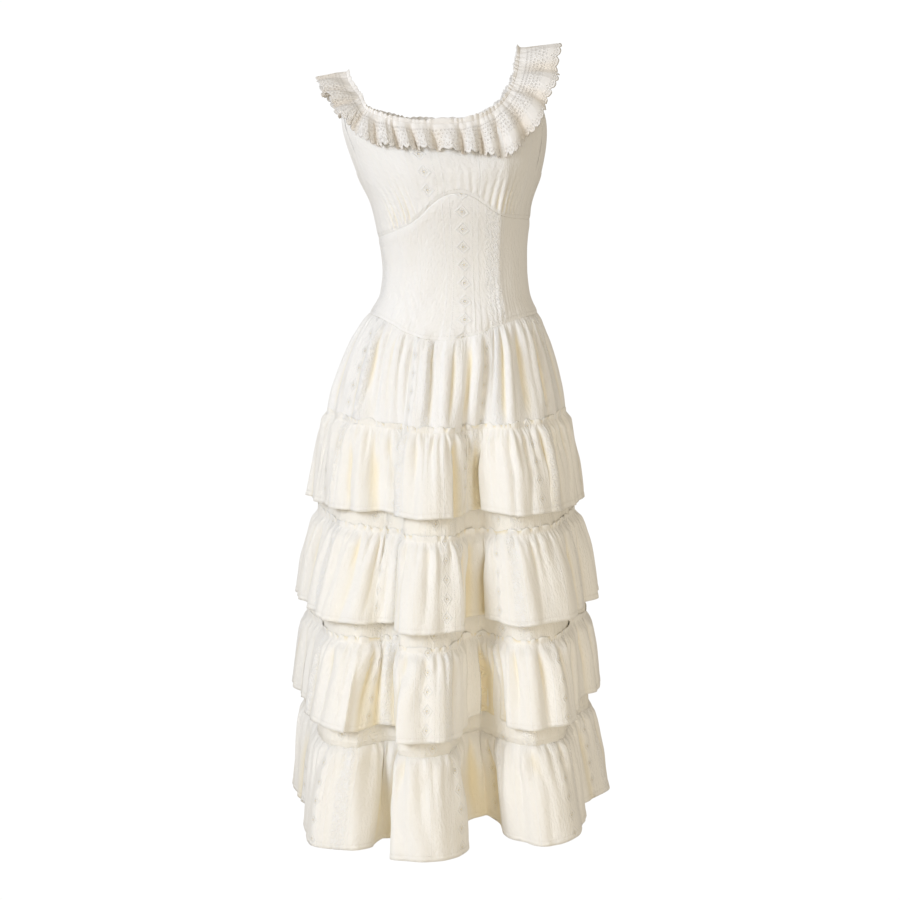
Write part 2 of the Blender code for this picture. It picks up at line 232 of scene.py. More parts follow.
def ease(t):
    """0 below 0, 1 above 1, and a smooth S between."""
    t = np.clip(t, 0.0, 1.0)
    return t * t * (3 - 2 * t)


def bend(x, xs, ys):
    """A smooth curve through points: a cubic between each two, its slope there their harmonic mean."""
    x = np.asarray(x, float)[..., None]
    xs = np.broadcast_to(xs, x.shape[:-1] + xs.shape[-1:])
    ys = np.broadcast_to(ys, xs.shape)
    steps = np.diff(xs, axis=-1)
    rises = np.diff(ys, axis=-1) / steps
    both = rises[..., :-1] * rises[..., 1:]
    sums = np.where(both > 0, rises[..., :-1] + rises[..., 1:], 1.0)
    means = np.where(both > 0, 2 * both / sums, 0.0)
    slopes = np.concatenate([rises[..., :1], means, rises[..., -1:]], axis=-1)
    left = np.clip((xs < x).sum(-1, keepdims=True) - 1, 0, xs.shape[-1] - 2)
    right = left + 1
    step = np.take_along_axis(steps, left, -1)
    y0 = np.take_along_axis(ys, left, -1)
    y1 = np.take_along_axis(ys, right, -1)
    slope0 = np.take_along_axis(slopes, left, -1) * step
    slope1 = np.take_along_axis(slopes, right, -1) * step
    t = (x - np.take_along_axis(xs, left, -1)) / step
    square = 3 * (y1 - y0) - 2 * slope0 - slope1
    cube = 2 * (y0 - y1) + slope0 + slope1
    return (y0 + slope0 * t + square * t**2 + cube * t**3)[..., 0]


def section(height, column):
    """One column of the level sections at a height."""
    return bend(-height, -SECTIONS[:, 0], SECTIONS[:, column])


def power(value, exponent):
    """A power that keeps the sign."""
    return np.sign(value) * np.abs(value) ** exponent


def loop(angle):
    """The same angle from -180 to 180."""
    return (angle + 180) % 360 - 180


def fold_push(angle, height):
    """How far the large folds push the skirt out: none at the waist seam, most at the hem."""
    angle, height = np.broadcast_arrays(angle, height)
    down = (-0.709 - height) / 0.509
    grown = ease((-0.43 - height) / 0.25) ** 1.2
    lines = FOLD_LINES[:, 0] + (FOLD_LINES[:, 1] - FOLD_LINES[:, 0]) * np.maximum(down, -0.2)[..., None]
    pushes = FOLD_LINES[:, 2] + (FOLD_LINES[:, 3] - FOLD_LINES[:, 2]) * np.maximum(down, 0)[..., None]
    lines = np.concatenate([lines[..., -3:] - 360, lines, lines[..., :3] + 360], axis=-1)
    pushes = np.concatenate([pushes[..., -3:], pushes, pushes[..., :3]], axis=-1)
    return grown * bend(loop(angle), lines, pushes)


def body(angle, height):
    """The dress below the underarm: level superellipses, pushed out and in by the skirt's large folds."""
    angle, height = np.broadcast_arrays(np.asarray(angle, float), height)
    s = np.sin(np.radians(angle))
    c = np.cos(np.radians(angle))
    exponent = 0.87 + 0.13 * ease((-0.40 - height) / 0.15)
    x = section(height, 2) * power(s, exponent)
    y = -np.where(c > 0, section(height, 3), section(height, 4)) * power(c, exponent)
    gathers = ease((-0.405 - height) / 0.05) * (1 - ease((-0.60 - height) / 0.12))
    wave = np.cos(SKIRT_GATHERS * np.radians(angle) + 0.9 * np.sin(3 * np.radians(angle)))
    push = 1 + (fold_push(angle, height) + 0.0035 * gathers * wave) / np.hypot(x, y)
    return np.stack([x * push + section(height, 1), y * push, height], axis=-1)


def neck_edge(angle):
    """The neck edge: a wide scoop, tilted along the shoulders, that comes in at the left of the front."""
    s = np.sin(np.radians(angle))
    c = np.cos(np.radians(angle))
    middle, width, height = NECK_SLOPE
    x = NECK_HALF_WIDTH * power(s, 0.77) + 0.010 * c * c + height * np.exp(-(((angle - middle) / width) ** 2))
    y = -np.where(c > 0, NECK_FRONT, NECK_BACK) * power(c, 0.80)
    return np.stack([x, y, SHOULDER_TILT * x * s * s - NECK_DROP * np.abs(c) ** 0.80], axis=-1)


def yoke(angle, rise):
    """The dress above the underarm: cubic curves from the underarm ring, rise 0, to the neck edge, rise 1."""
    angle, rise = np.broadcast_arrays(np.asarray(angle, float), rise)
    start = body(angle, np.full(angle.shape, UNDERARM))
    up = (start - body(angle, np.full(angle.shape, UNDERARM - 0.004))) / 0.004
    end = neck_edge(angle)
    side = np.abs(np.sin(np.radians(angle)))[..., None] ** 3
    away = end * (1, 1, 0)
    away /= np.linalg.norm(away, axis=-1, keepdims=True)
    inner = start + up * (0.030 + 0.108 * side)
    outer = end + away * (0.004 + 0.046 * side) + np.array([0, 0, -1.0]) * (0.026 - 0.018 * side)
    t = rise[..., None]
    return (1 - t) ** 3 * start + 3 * (1 - t) ** 2 * t * inner + 3 * (1 - t) * t**2 * outer + t**3 * end


def edge_length(angle):
    """Metres of cloth to a unit of rise, measured over the last tenth below the neck edge."""
    return np.linalg.norm(yoke(angle, 1.0) - yoke(angle, 0.9), axis=-1) / 0.1


def strap_rise(angle):
    """The rise that lies one strap width out from the neck edge."""
    return 1 - STRAP_WIDTH / edge_length(angle)


def underbust(angle):
    """Height of the seam under the bust: a peak in the middle of the front, level round the back."""
    s = np.sin(np.radians(angle))
    peak = 0.040 * np.exp(-(((angle - 3) / 21.0) ** 2))
    return UNDERBUST + 0.015 * s - 0.018 * s * s + np.where(np.cos(np.radians(angle)) > 0, peak, 0.0)


def waist_seam(angle):
    """Height of the waist seam: it dips in the middle of the front."""
    dip = WAIST_DIP * np.exp(-(((angle + 6) / 34.0) ** 2))
    return WAIST_SEAM - np.where(np.cos(np.radians(angle)) > 0, dip, 0.0)


def facing(grid, closed=False):
    """Outward unit normals of a grid, from its slopes. A closed grid's last column is its first again."""
    down = np.gradient(grid, axis=0)
    if closed:
        looped = np.concatenate([grid[:, -2:-1], grid, grid[:, 1:2]], axis=1)
        along = looped[:, 2:] - looped[:, :-2]
    else:
        along = np.gradient(grid, axis=1)
    out = np.cross(down, along)
    return out / np.linalg.norm(out, axis=-1, keepdims=True)


def lengths(grid, axis):
    """How far along the cloth each point lies from the first row or column."""
    steps = np.linalg.norm(np.diff(grid, axis=axis), axis=-1)
    return np.concatenate([0 * np.take(steps, [0], axis), np.cumsum(steps, axis=axis)], axis=axis)


def patchy(across, down, cells, seed):
    """Soft random patches from -1 to 1: random heights on a lattice, eased between.

    across runs from 0 to 1 once round the dress and closes on itself, and down counts lattice rows.
    """
    lattice = np.random.default_rng(seed).uniform(-1, 1, (PATCH_ROWS, cells))
    x, y = np.broadcast_arrays(across * cells, down)
    i = np.floor(x).astype(int)
    j = np.floor(y).astype(int)
    fx = ease(x - i)
    fy = ease(y - j)
    row, next_row = j % PATCH_ROWS, (j + 1) % PATCH_ROWS
    column, next_column = i % cells, (i + 1) % cells
    top = lattice[row, column] * (1 - fx) + lattice[row, next_column] * fx
    low = lattice[next_row, column] * (1 - fx) + lattice[next_row, next_column] * fx
    return top * (1 - fy) + low * fy


def ridges(phase):
    """Rounded ridges with narrow valleys, one every pi, from about -0.9 to 0.6."""
    return 1.55 * np.sqrt(np.cos(phase) ** 2 + 0.03) - 0.98


def gathers(across, fall, count, reach, seed):
    """Folds below a gathered line: ridges of uneven width, height and length, that wander and fade."""
    wander = 0.22 / count * patchy(across, fall / 0.08, count // 3, seed) * ease(fall / 0.05)
    turned = across + 0.40 / count * patchy(across, 0, count // 2, seed + 1) + wander
    own = 0.62 + 0.38 * patchy(turned, 0, count, seed + 2)
    length = reach * (1 + 0.5 * patchy(turned, 0, count, seed + 3))
    return ridges(np.pi * count * turned) * own * np.exp(-((fall / length) ** 2))


def seam_puff(distance):
    """The groove that a seam pulls into the cloth, and the soft rise beside it."""
    groove = -0.0003 * np.exp(-((distance / 0.003) ** 2))
    return groove + 0.0006 * np.exp(-(((distance - 0.010) / 0.007) ** 2))


def cloth(name, grid, across, down, to_end, material, nodes, closed=False, thickness=SHELL, painted_shade=0.0):
    """One piece of cloth: the grid as faces, with the maps "cloth", "edge" and "fold".

    cloth holds metres of flat cloth across and down, edge the distance to the lower edge and from the upper
    one, fold the painted shade, from 0 to 1, that the material tints warmer and darker. Solidify adds the wall
    inwards.
    """
    rows, columns = grid.shape[:2]
    kept = columns - 1 if closed else columns
    r = np.arange(rows - 1)[:, None]
    c = np.arange(columns - 1)[None, :]
    corners = [(r, c), (r + 1, c), (r + 1, c + 1), (r, c + 1)]
    faces = np.stack([(i * kept + j % kept).ravel() for i, j in corners], axis=1)
    places = np.stack([(i * columns + j).ravel() for i, j in corners], axis=1).ravel()
    mesh = bpy.data.meshes.new(name)
    mesh.from_pydata(grid[:, :kept].reshape(-1, 3).tolist(), [], faces.tolist())
    for title, first, second in (("cloth", across, down), ("edge", to_end, down), ("fold", painted_shade, 0.0)):
        first, second, _ = np.broadcast_arrays(first, second, grid[..., 0])
        pairs = np.stack([first.ravel()[places], second.ravel()[places]], axis=1)
        mesh.uv_layers.new(name=title).data.foreach_set("uv", pairs.astype(np.float32).ravel())
    mesh.shade_smooth()
    mesh.materials.append(material)
    mesh.update()
    made = bpy.data.objects.new(name, mesh)
    scene.collection.objects.link(made)
    wall = made.modifiers.new("wall", "SOLIDIFY")
    wall.thickness = thickness
    wall.offset = -1
    wall.use_even_offset = False
    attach(made, "root")
    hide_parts(*nodes)
    return made


class Field:
    """A number at every point of a surface. Sums and products of fields become Math nodes of the material."""

    def __init__(self, socket):
        self.socket = socket

    def math(self, word, *others, clamp=False):
        """The field and the others, fields or numbers, through one Math node. Clamped, it stays from 0 to 1."""
        tree = self.socket.id_data
        node = tree.nodes.new("ShaderNodeMath")
        node.operation = word
        node.use_clamp = clamp
        for slot, value in zip(node.inputs, (self, *others)):
            if isinstance(value, Field):
                tree.links.new(value.socket, slot)
            else:
                slot.default_value = value
        return Field(node.outputs[0])

    def __add__(self, other):
        return self.math("ADD", other)

    def __sub__(self, other):
        return self.math("SUBTRACT", other)

    def __mul__(self, other):
        return self.math("MULTIPLY", other)

    def __truediv__(self, other):
        return self.math("DIVIDE", other)

    def size(self):
        """The field without its sign."""
        return self.math("ABSOLUTE")

    def every(self, pitch, start=0.0):
        """The distance from the nearest of a row of lines, one every pitch from start."""
        return self.math("WRAP", start + pitch / 2, start - pitch / 2) - start

    def hill(self, width):
        """1 where the field is 0, down to 0 where it is as large as width."""
        return (self.size() / -width).math("ADD", 1.0, clamp=True)

    def below(self, limit, soft):
        """1 where the field is under the limit, 0 where it is over, and a ramp of soft between."""
        return ((self - limit) / -soft).math("ADD", 0.5, clamp=True)

    def rest(self):
        """What the field leaves of 1."""
        return self.math("SUBTRACT", 1.0).size()

    def most(self, other):
        """The larger of two fields."""
        return self.math("MAXIMUM", other)


def distance(x, y):
    """How far each point of the surface lies from where both fields are 0."""
    return (x * x + y * y).math("SQRT")


def flat_place(material, title):
    """The two fields of one of a piece's maps."""
    tree = material.node_tree
    source = tree.nodes.new("ShaderNodeUVMap")
    source.uv_map = title
    parts = tree.nodes.new("ShaderNodeSeparateXYZ")
    tree.links.new(source.outputs["UV"], parts.inputs["Vector"])
    return Field(parts.outputs["X"]), Field(parts.outputs["Y"])


def grain(material, x, y, across, down, detail=2.0):
    """Smooth noise from 0 to 1 on the flat cloth, with so many cells a metre across and down."""
    tree = material.node_tree
    place = tree.nodes.new("ShaderNodeCombineXYZ")
    tree.links.new((x * across).socket, place.inputs["X"])
    tree.links.new((y * down).socket, place.inputs["Y"])
    noise = tree.nodes.new("ShaderNodeTexNoise")
    noise.inputs["Scale"].default_value = 1.0
    noise.inputs["Detail"].default_value = detail
    tree.links.new(place.outputs["Vector"], noise.inputs["Vector"])
    return Field(noise.outputs["Fac"])


def finish_cloth(material, colour, shade, share, raised, bump):
    """Colours the cloth between colour and shade by the field share, and raises it by the field raised."""
    tree = material.node_tree
    shader = tree.nodes["Principled BSDF"]
    mix = tree.nodes.new("ShaderNodeMix")
    mix.data_type = "RGBA"
    mix.inputs[6].default_value = (*colour, 1)
    mix.inputs[7].default_value = (*shade, 1)
    tree.links.new(share.math("ADD", 0.0, clamp=True).socket, mix.inputs[0])
    tree.links.new(mix.outputs[2], shader.inputs["Base Color"])
    relief = tree.nodes.new("ShaderNodeBump")
    relief.inputs["Strength"].default_value = bump
    relief.inputs["Distance"].default_value = 1.0
    tree.links.new(raised.socket, relief.inputs["Height"])
    tree.links.new(relief.outputs["Normal"], shader.inputs["Normal"])
    shader.inputs["Roughness"].default_value = 0.86
    shader.inputs["Specular IOR Level"].default_value = 0.25
    shader.inputs["Sheen Weight"].default_value = 0.12
    shader.inputs["Sheen Roughness"].default_value = 0.5


CORD_PITCH = 0.041
REPEAT = 5 * CORD_PITCH
DIAMOND_MIDDLE = CORD_PITCH / 2
VINE_MIDDLE = CORD_PITCH * 1.6
DIAMOND_PITCH = 0.029
DIAMOND_HALF = 0.0082
FLOWER_PITCH = 0.017
STITCH_PITCH = 0.0030
HEM_DEPTH = 0.0085
CREAM = (0.945, 0.936, 0.920)
# CREAM_SHADE is the colour of the painted shade: folds, eyelet holes and stitched upper edges are tinted
# towards it, and the random slub and cloud tones lean towards it too.
CREAM_SHADE = (0.935, 0.830, 0.585)


def striped_cotton(name, with_vine):
    """Cream cotton: a woven cord every 41 mm, eyelet diamonds in every fifth stripe, and a vine or none."""
    material = bpy.data.materials.new(name)
    material.use_nodes = True
    x, y = flat_place(material, "cloth")
    to_end, from_top = flat_place(material, "edge")
    weave = grain(material, x, y, 1500, 260) + grain(material, x, y, 260, 1500)
    crinkle = grain(material, x, y, 230, 120, 3.0)
    slub = grain(material, x, y, 260, 14, 3.0)
    cloudy = grain(material, x, y, 16, 11)
    cord = x.every(CORD_PITCH).hill(0.0011)
    thin_cord = x.every(CORD_PITCH, 0.0032).hill(0.0005).most(x.every(CORD_PITCH, -0.0032).hill(0.0005))

    dx = x.every(REPEAT, DIAMOND_MIDDLE)
    dy = y.every(DIAMOND_PITCH)
    far = distance(dx, dy)
    spread = dx.size() + dy.size() * 0.80
    ring = (spread - DIAMOND_HALF).hill(0.0018)
    around = dy.math("ARCTAN2", dx).every(math.pi / 4) * 0.0044
    small_holes = distance(around, far - 0.0044).below(0.0007, 0.0006) * far.below(0.009, 0.001)
    hole = far.below(0.0016, 0.0006).most(small_holes * 0.5)
    rim = (far - 0.0024).hill(0.0009)
    ladder = (dx.size() - 0.0125).hill(0.0008) * y.every(0.0034).hill(0.0017)

    fx = x.every(REPEAT, VINE_MIDDLE)
    sway = (y * (math.pi / FLOWER_PITCH)).math("SINE")
    stem = (fx - sway * 0.0060).hill(0.0010)
    px = fx - (y / FLOWER_PITCH).math("FLOOR").math("MODULO", 2.0).size() * 0.012 + 0.0060
    py = y.every(FLOWER_PITCH, FLOWER_PITCH / 2)
    reach = distance(px, py)
    petals = (py.math("ARCTAN2", px) * 5).math("COSINE") * 0.0016 + 0.0046
    flower = (reach - petals).below(0.0, 0.0012) * (reach - 0.0008).below(0.0, 0.0006).rest()
    sprigs = (grain(material, x, y, 330, 300, 0.0) - 0.56).below(0.0, 0.10).rest()
    vine = stem.most(flower).most(sprigs * 0.9) * fx.size().below(0.0130, 0.002) * (1.0 if with_vine else 0.0)

    stitched = x.every(STITCH_PITCH).hill(0.0011).below(0.35, 0.2).rest()
    hem_stitch = (to_end - HEM_DEPTH).hill(0.0005) * stitched
    top_edge_shade = from_top.size().hill(0.0022)
    work = ring.most(rim).most(ladder).most(vine)
    # Painted shade: the eyelet holes, the stitched upper edge of each piece and the map "fold" tint the colour
    # warmer and darker. Slub and cloud are the cloth's own uneven tone.
    share = (hole * 0.50) + (slub - 0.5) * 0.14 + (cloudy - 0.5) * 0.14 + hem_stitch * 0.16 + top_edge_shade * 0.05
    share = share - work * 0.10 - cord * 0.08 + 0.06 + flat_place(material, "fold")[0] * 0.85
    raised = weave * 0.00012 + crinkle * 0.0017 + slub * 0.00022 + cord * 0.00032 + thin_cord * 0.00012
    raised = raised + work * 0.00070 - hole * 0.0011 - hem_stitch * 0.0007
    finish_cloth(material, CREAM, CREAM_SHADE, share, raised, 0.85)
    return material


cream_cotton = striped_cotton("cream_cotton_stripe", True)
bust_cotton = striped_cotton("cream_cotton_diamonds", False)


def bust(turned, seed):
    """A bust panel's grid: rows from the neck edge or armhole over the bust to the seam below it.

    Folds rise from the seam. Their height and reach come from the table of gathers, and they lean as they rise.
    """
    up = np.linspace(1.0, 0.05, 22)[:, None]
    low = np.linspace(0.0, 1.0, 46)[:, None]
    from_side = np.abs(np.abs(loop(turned)) - 90) / (90 - STRAP_ANGLE)
    arm = np.maximum(strap_rise(turned) * np.clip(from_side, 0, 1) ** 3.6, 0.02)
    top = np.where(from_side >= 1, 1.0, arm)
    end = underbust(turned) - LAP
    below = body(turned[None], UNDERARM * (1 - low) + end * low)
    grid = np.concatenate([yoke(turned[None], top[None] * up), below])
    out = facing(grid)
    down = lengths(grid, 0)
    above = down[-1:] - down
    front = (np.cos(np.radians(turned)) > 0)[None]
    height = np.interp(turned, BUST_FOLDS[:, 0], BUST_FOLDS[:, 1]) * front
    reach = np.interp(turned, BUST_FOLDS[:, 0], BUST_FOLDS[:, 2])
    leaned = turned[None] * (1 - 1.9 * above) / 360 + 0.5
    uneven = 0.0022 * patchy(leaned, above / 0.05, 60, seed)
    fold = ridges(np.pi * BUST_RIDGES * (leaned + uneven))
    fold = fold * (0.62 + 0.38 * patchy(leaned, 0, BUST_RIDGES, seed + 1))
    push = height * fold * np.exp(-((above / reach) ** 2)) * ease((above - 2 * LAP) / 0.010)
    share = turned[None] / 360 + 0.5
    # Painted shade in the valleys of the gathers under the bust.
    painted_shade = 0.6 * ease(-push / 0.0022)
    push = push + 0.0012 * patchy(share, down / 0.045, 34, seed + 2) * ease(down / 0.03) * ease(above / 0.02)
    push = push + 0.0003 * patchy(share, down / 0.02, 90, seed + 3) * ease(down / 0.02)
    push = push * near_seam(turned)[None] - 0.0004 * np.exp(-((near_seam(turned)[None] / 0.02) ** 2))
    push = push + seam_puff(above) - 0.0007 * np.exp(-((down / 0.004) ** 2))
    push = push + shade_edge(turned[None]) * ease(down / 0.06) - 0.0009 * ease(1 - above / 0.005)
    return grid + out * push[..., None], down, above, painted_shade


def near_seam(turned):
    """0 at the side seams and the centre back, 1 from six degrees away, so that panels meet there."""
    return ease(np.minimum(np.abs(np.abs(loop(turned)) - 90), 180 - np.abs(loop(turned))) / 6)


def shade_edge(turned):
    """The soft crease that runs down the right of the front, over the bust and the midriff."""
    return 0.0082 * np.exp(-np.sqrt((turned - 32) ** 2 + 1.0) / 12)


def even_folds(first, last, count):
    """Angles from first to last, closer together where the front is gathered most."""
    fine = np.linspace(first, last, 2000)
    dense = np.cumsum(1 + 1.2 * np.exp(-(((np.abs(fine) - 36) / 15) ** 2)))
    return np.interp(np.linspace(dense[0], dense[-1], count), dense, fine)


def stripes(turned, across, flat, column, at):
    """Metres of flat cloth round a closed piece, so that the stripe at column falls on the angle at."""
    return (across - np.interp(at, turned, np.ravel(across))) * flat + column


def ring_place(turned, radius):
    """Metres of flat cloth along a panel that isn't gathered: the angle times a mean radius."""
    return np.radians(turned) * radius


BUST_RADIUS = 0.130
CENTRE_GAP = 0.004
BACK_COLUMNS = 90
step = np.array([STRAP_ANGLE, STRAP_ANGLE + STRAP_STEP])
front_turned = even_folds(-90 + CENTRE_GAP, 90 - CENTRE_GAP, 250)
front_turned = np.unique(np.concatenate([front_turned, step, -step]))
grid, down, above, painted_shade = bust(front_turned, 11)
bust_front = cloth("bust_front_cotton", grid, ring_place(front_turned, BUST_RADIUS) + 0.047, down, above,
                   bust_cotton, ["bust_front"], painted_shade=painted_shade)
right_turned = np.linspace(90 + CENTRE_GAP, 180 - CENTRE_GAP, BACK_COLUMNS)
right_turned = np.unique(np.concatenate([right_turned, 180 - step]))
for side, turned in (("right", right_turned), ("left", -right_turned[::-1])):
    grid, down, above, painted_shade = bust(turned, 31 if side == "right" else 41)
    panel = cloth(f"bust_back_{side}_cotton", grid, ring_place(turned, BUST_RADIUS), down, above,
                  bust_cotton, ["bust_back_" + side], painted_shade=painted_shade)

# ---------------------------------------------------------------------------------------------- Midriff
# The midriff fits close from the curved seam under the bust to the waist seam, which dips in front.
# It is the same cotton, cut flat, with small drag creases at the waist and fine folds on the right.

MIDRIFF_RADIUS = 0.118
MIDRIFF_COLUMNS = 220


def midriff(turned, seed):
    """A midriff panel's grid between the two seams, with creases that run down to the waist."""
    share = np.linspace(0.0, 1.0, 62)[:, None]
    start = underbust(turned) + LAP
    end = waist_seam(turned) - LAP
    grid = body(turned[None], start * (1 - share) + end * share)
    down = lengths(grid, 0)
    above = down[-1:] - down
    across = turned[None] / 360 + 0.5
    front = np.exp(-(((turned - 26) / 22) ** 2)) + 0.30 * np.exp(-(((turned + 35) / 25) ** 2))
    fine = gathers(across, above, 96, 0.060, seed) * 0.0015 * (0.15 + front)
    drawn = patchy(across + above * 0.35, above / 0.020 + 8 * across, 30, seed + 5)
    drag = drawn * 0.0010 * np.exp(-((above / 0.06) ** 2)) * ease(above / 0.01)
    soft = 0.0010 * patchy(across, down / 0.05, 30, seed + 6) * ease(down / 0.02) * ease(above / 0.02)
    slant = ridges(np.pi * (above * 38 + across * 34)) * np.exp(-(((above - 0.05) / 0.03) ** 2))
    drag = drag + 0.0013 * np.exp(-(((turned + 32) / 16) ** 2)) * slant
    push = (fine * ease((above - 2 * LAP) / 0.008) + drag + soft) * near_seam(turned)[None]
    push = push - 0.0004 * np.exp(-((near_seam(turned)[None] / 0.02) ** 2))
    push = push + seam_puff(above) + seam_puff(down)
    push = push + shade_edge(turned[None]) * ease(above / 0.030) - 0.0009 * ease(1 - above / 0.005)
    return grid + facing(grid) * push[..., None], down, above


grid, down, above = midriff(np.linspace(-90 + CENTRE_GAP, 90 - CENTRE_GAP, MIDRIFF_COLUMNS), 51)
place = ring_place(np.linspace(-90, 90, MIDRIFF_COLUMNS), MIDRIFF_RADIUS) + 0.0095
midriff_front = cloth("midriff_front_cotton", grid, place, down, above, cream_cotton, ["midriff_front"])
for side, sign in (("right", 1), ("left", -1)):
    turned = np.sort(sign * np.linspace(90 + CENTRE_GAP, 180 - CENTRE_GAP, BACK_COLUMNS))
    grid, down, above = midriff(turned, 61 + sign)
    panel = cloth(f"midriff_back_{side}_cotton", grid, ring_place(turned, MIDRIFF_RADIUS), down, above,
                  cream_cotton, ["midriff_back_" + side])

# ----------------------------------------------------------------------------------------------- Straps
# Each shoulder strap is a 30 mm band of the same cotton under the ruffle, sewn to the bust panels in
# front and behind. Its inner edge is the neck edge.

for side, middle in (("right", 90), ("left", -90)):
    reach = 90 - STRAP_ANGLE - STRAP_STEP - 0.16
    turned = middle + np.linspace(-reach, reach, 60)
    share = np.linspace(0, 1, 14)[:, None]
    grid = yoke(turned[None], 1 - (1 - strap_rise(turned))[None] * share)
    down = lengths(grid, 0)
    across = turned[None] / 360 + 0.5
    push = 0.0004 * patchy(across, down / 0.01, 90, 71) - 0.0004 * np.exp(-((down / 0.003) ** 2))
    grid = grid + facing(grid) * push[..., None]
    strap = cloth(f"strap_{side}_cotton", grid, lengths(grid, 1), down, down[-1:] - down,
                  bust_cotton, ["strap_" + side])

# ------------------------------------------------------------------------------------------ Neck ruffle
# A strip of eyelet cotton with a scalloped, finely worked edge. It is gathered on one line of stitches
# round the neck edge, so that a small crimped frill stands above the line and a deep waved fall lies below.

RUFFLE_HEAD = 0.0062
RUFFLE_WAVES = 28
RUFFLE_CRIMPS = 96
RUFFLE_CROWDING = 0.16
RUFFLE_FLAT = 1.62
SCALLOPS = 118
SCALLOP_DEPTH = 0.0032
RUFFLE_COLUMNS = 1080
RUFFLE_SHELL = 0.0006
RUFFLE_LIFT = 0.0185
LACE = (0.945, 0.922, 0.888)
# LACE_SHADE is the colour of the painted shade in the ruffle's waves, holes and gathering line.
LACE_SHADE = (0.900, 0.815, 0.695)


def eyelet_lace(name):
    """Eyelet cotton: rows of small round holes with worked rims, flowers, and a dotted scalloped border."""
    material = bpy.data.materials.new(name)
    material.use_nodes = True
    x, y = flat_place(material, "cloth")
    to_end, from_top = flat_place(material, "edge")
    weave = grain(material, x, y, 1400, 1400)
    scallop = RUFFLE_FLAT / SCALLOPS

    pitch = scallop * 0.42
    shifted = x + (y / pitch + 0.5).math("FLOOR").math("MODULO", 2.0) * (pitch / 2)
    spot = distance(shifted.every(pitch), y.every(pitch))
    field_hole = spot.below(0.0010, 0.0006)
    field_rim = (spot - 0.0016).hill(0.0008)
    row = y.below(0.040, 0.001) * y.below(0.008, 0.001).rest()
    flower_x = x.every(scallop * 2)
    flower_y = y - 0.026
    far = distance(flower_x, flower_y)
    petals = (flower_y.math("ARCTAN2", flower_x) * 6).math("COSINE") * 0.0014 + 0.0052
    flower = (far - petals).below(0.0, 0.001)
    border = (to_end - 0.0016).hill(0.0016)
    dot = distance(x.every(scallop / 4), to_end - 0.0052).below(0.00085, 0.0005)
    dots = dot.most(distance(x.every(scallop / 4, scallop / 8), to_end - 0.0088).below(0.0008, 0.0005))
    hole = (field_hole * row * (flower * -1 + 1)).most(dots).most(far.below(0.0015, 0.0005))
    work = (field_rim * row * 0.7).most(border).most(flower * 0.8)
    stitches = from_top.size().hill(0.0011)
    # Painted shade: the eyelet holes, the line of gathering stitches and the map "fold" tint the colour warmer
    # and darker. The stitch line is also sunk as real stitching.
    share = hole * 0.30 + (weave - 0.5) * 0.14 + stitches * 0.20 - work * 0.08 + 0.06
    share = share + flat_place(material, "fold")[0] * 0.7
    raised = weave * 0.00014 + work * 0.0006 - hole * 0.0009 - stitches * 0.0005
    finish_cloth(material, LACE, LACE_SHADE, share, raised, 0.9)
    return material


def ruffle_fall(turned):
    """How deep the ruffle falls: least at the centre front, more over the shoulders."""
    side = np.sin(np.radians(turned))
    fall = 0.041 + np.where(side > 0, 0.016, 0.008) * side**2
    front = np.abs(np.cos(np.radians(turned)))
    return fall + 0.030 * np.clip(side, 0, 1) * front + 0.006 * np.clip(-side, 0, 1) ** 3 * front**1.2


turned = np.linspace(-180 + CENTRE_GAP, 180 - CENTRE_GAP, RUFFLE_COLUMNS)
across = (turned + 180)[None] / 360
share = np.concatenate([np.linspace(-1, -0.2, 5), np.linspace(0, 1, 21)])[:, None]
side = np.abs(np.sin(np.radians(turned)))
length = edge_length(turned)
scallops = np.abs(np.sin(np.pi * SCALLOPS * across))
depth = ruffle_fall(turned)[None] * (1 + 0.05 * patchy(across, 0, 40, 81))
depth = depth - SCALLOP_DEPTH * (1 - scallops) ** 1.5
reach = np.clip(share, 0, 1) * depth
lower = 0.0050 * np.clip(np.cos(np.radians(turned)), 0, 1) ** 2
lying = yoke(turned[None], 1 - (reach + lower) / length[None])
edge = yoke(turned, 1 - lower / length)
outwards = yoke(turned, 1 - (0.012 + lower) / length) - edge
outwards /= np.linalg.norm(outwards, axis=-1, keepdims=True)
straight = edge[None] + outwards[None] * reach[..., None]
mix = (0.85 * side**2)[None, :, None]
base = lying * (1 - mix) + straight * mix
crimp = ridges(np.pi * RUFFLE_CRIMPS * across + 2.4 * patchy(across, 0, 60, 85))
crimp = crimp * (0.6 + 0.4 * patchy(across, 0, 110, 86))
head = RUFFLE_HEAD * (1 + 0.30 * patchy(across, 0, 70, 89) + 0.22 * crimp)
base = base - outwards[None] * (np.clip(-share, 0, 1) * head)[..., None]
out = facing(base)
along = np.gradient(base, axis=1)
along /= np.linalg.norm(along, axis=-1, keepdims=True)
fall = np.clip(share, 0, 1)
lean = 0.013 * patchy(across, 0, 9, 82) * fall
crowded = across + RUFFLE_CROWDING / (4 * np.pi) * np.sin(4 * np.pi * across)
phase = RUFFLE_WAVES * np.pi * (crowded + lean) + 0.45 * patchy(across, 0, 22, 191) + np.pi / 2
own = 0.78 + 0.22 * patchy(across + lean, 0, RUFFLE_WAVES, 84)
wave = np.cos(phase) ** 2 * own
creases = gathers(across, reach, 72, 0.020, 88)
crimping = 0.0010 * np.exp(-((fall / 0.14) ** 2)) + 0.0022 * np.clip(-share, 0, 1)
grown = 0.08 + 0.92 * np.sin(np.pi / 2 * fall) ** 1.2
lift = 0.0018 + 0.0016 * ease(fall / 0.4) + RUFFLE_LIFT * grown * wave
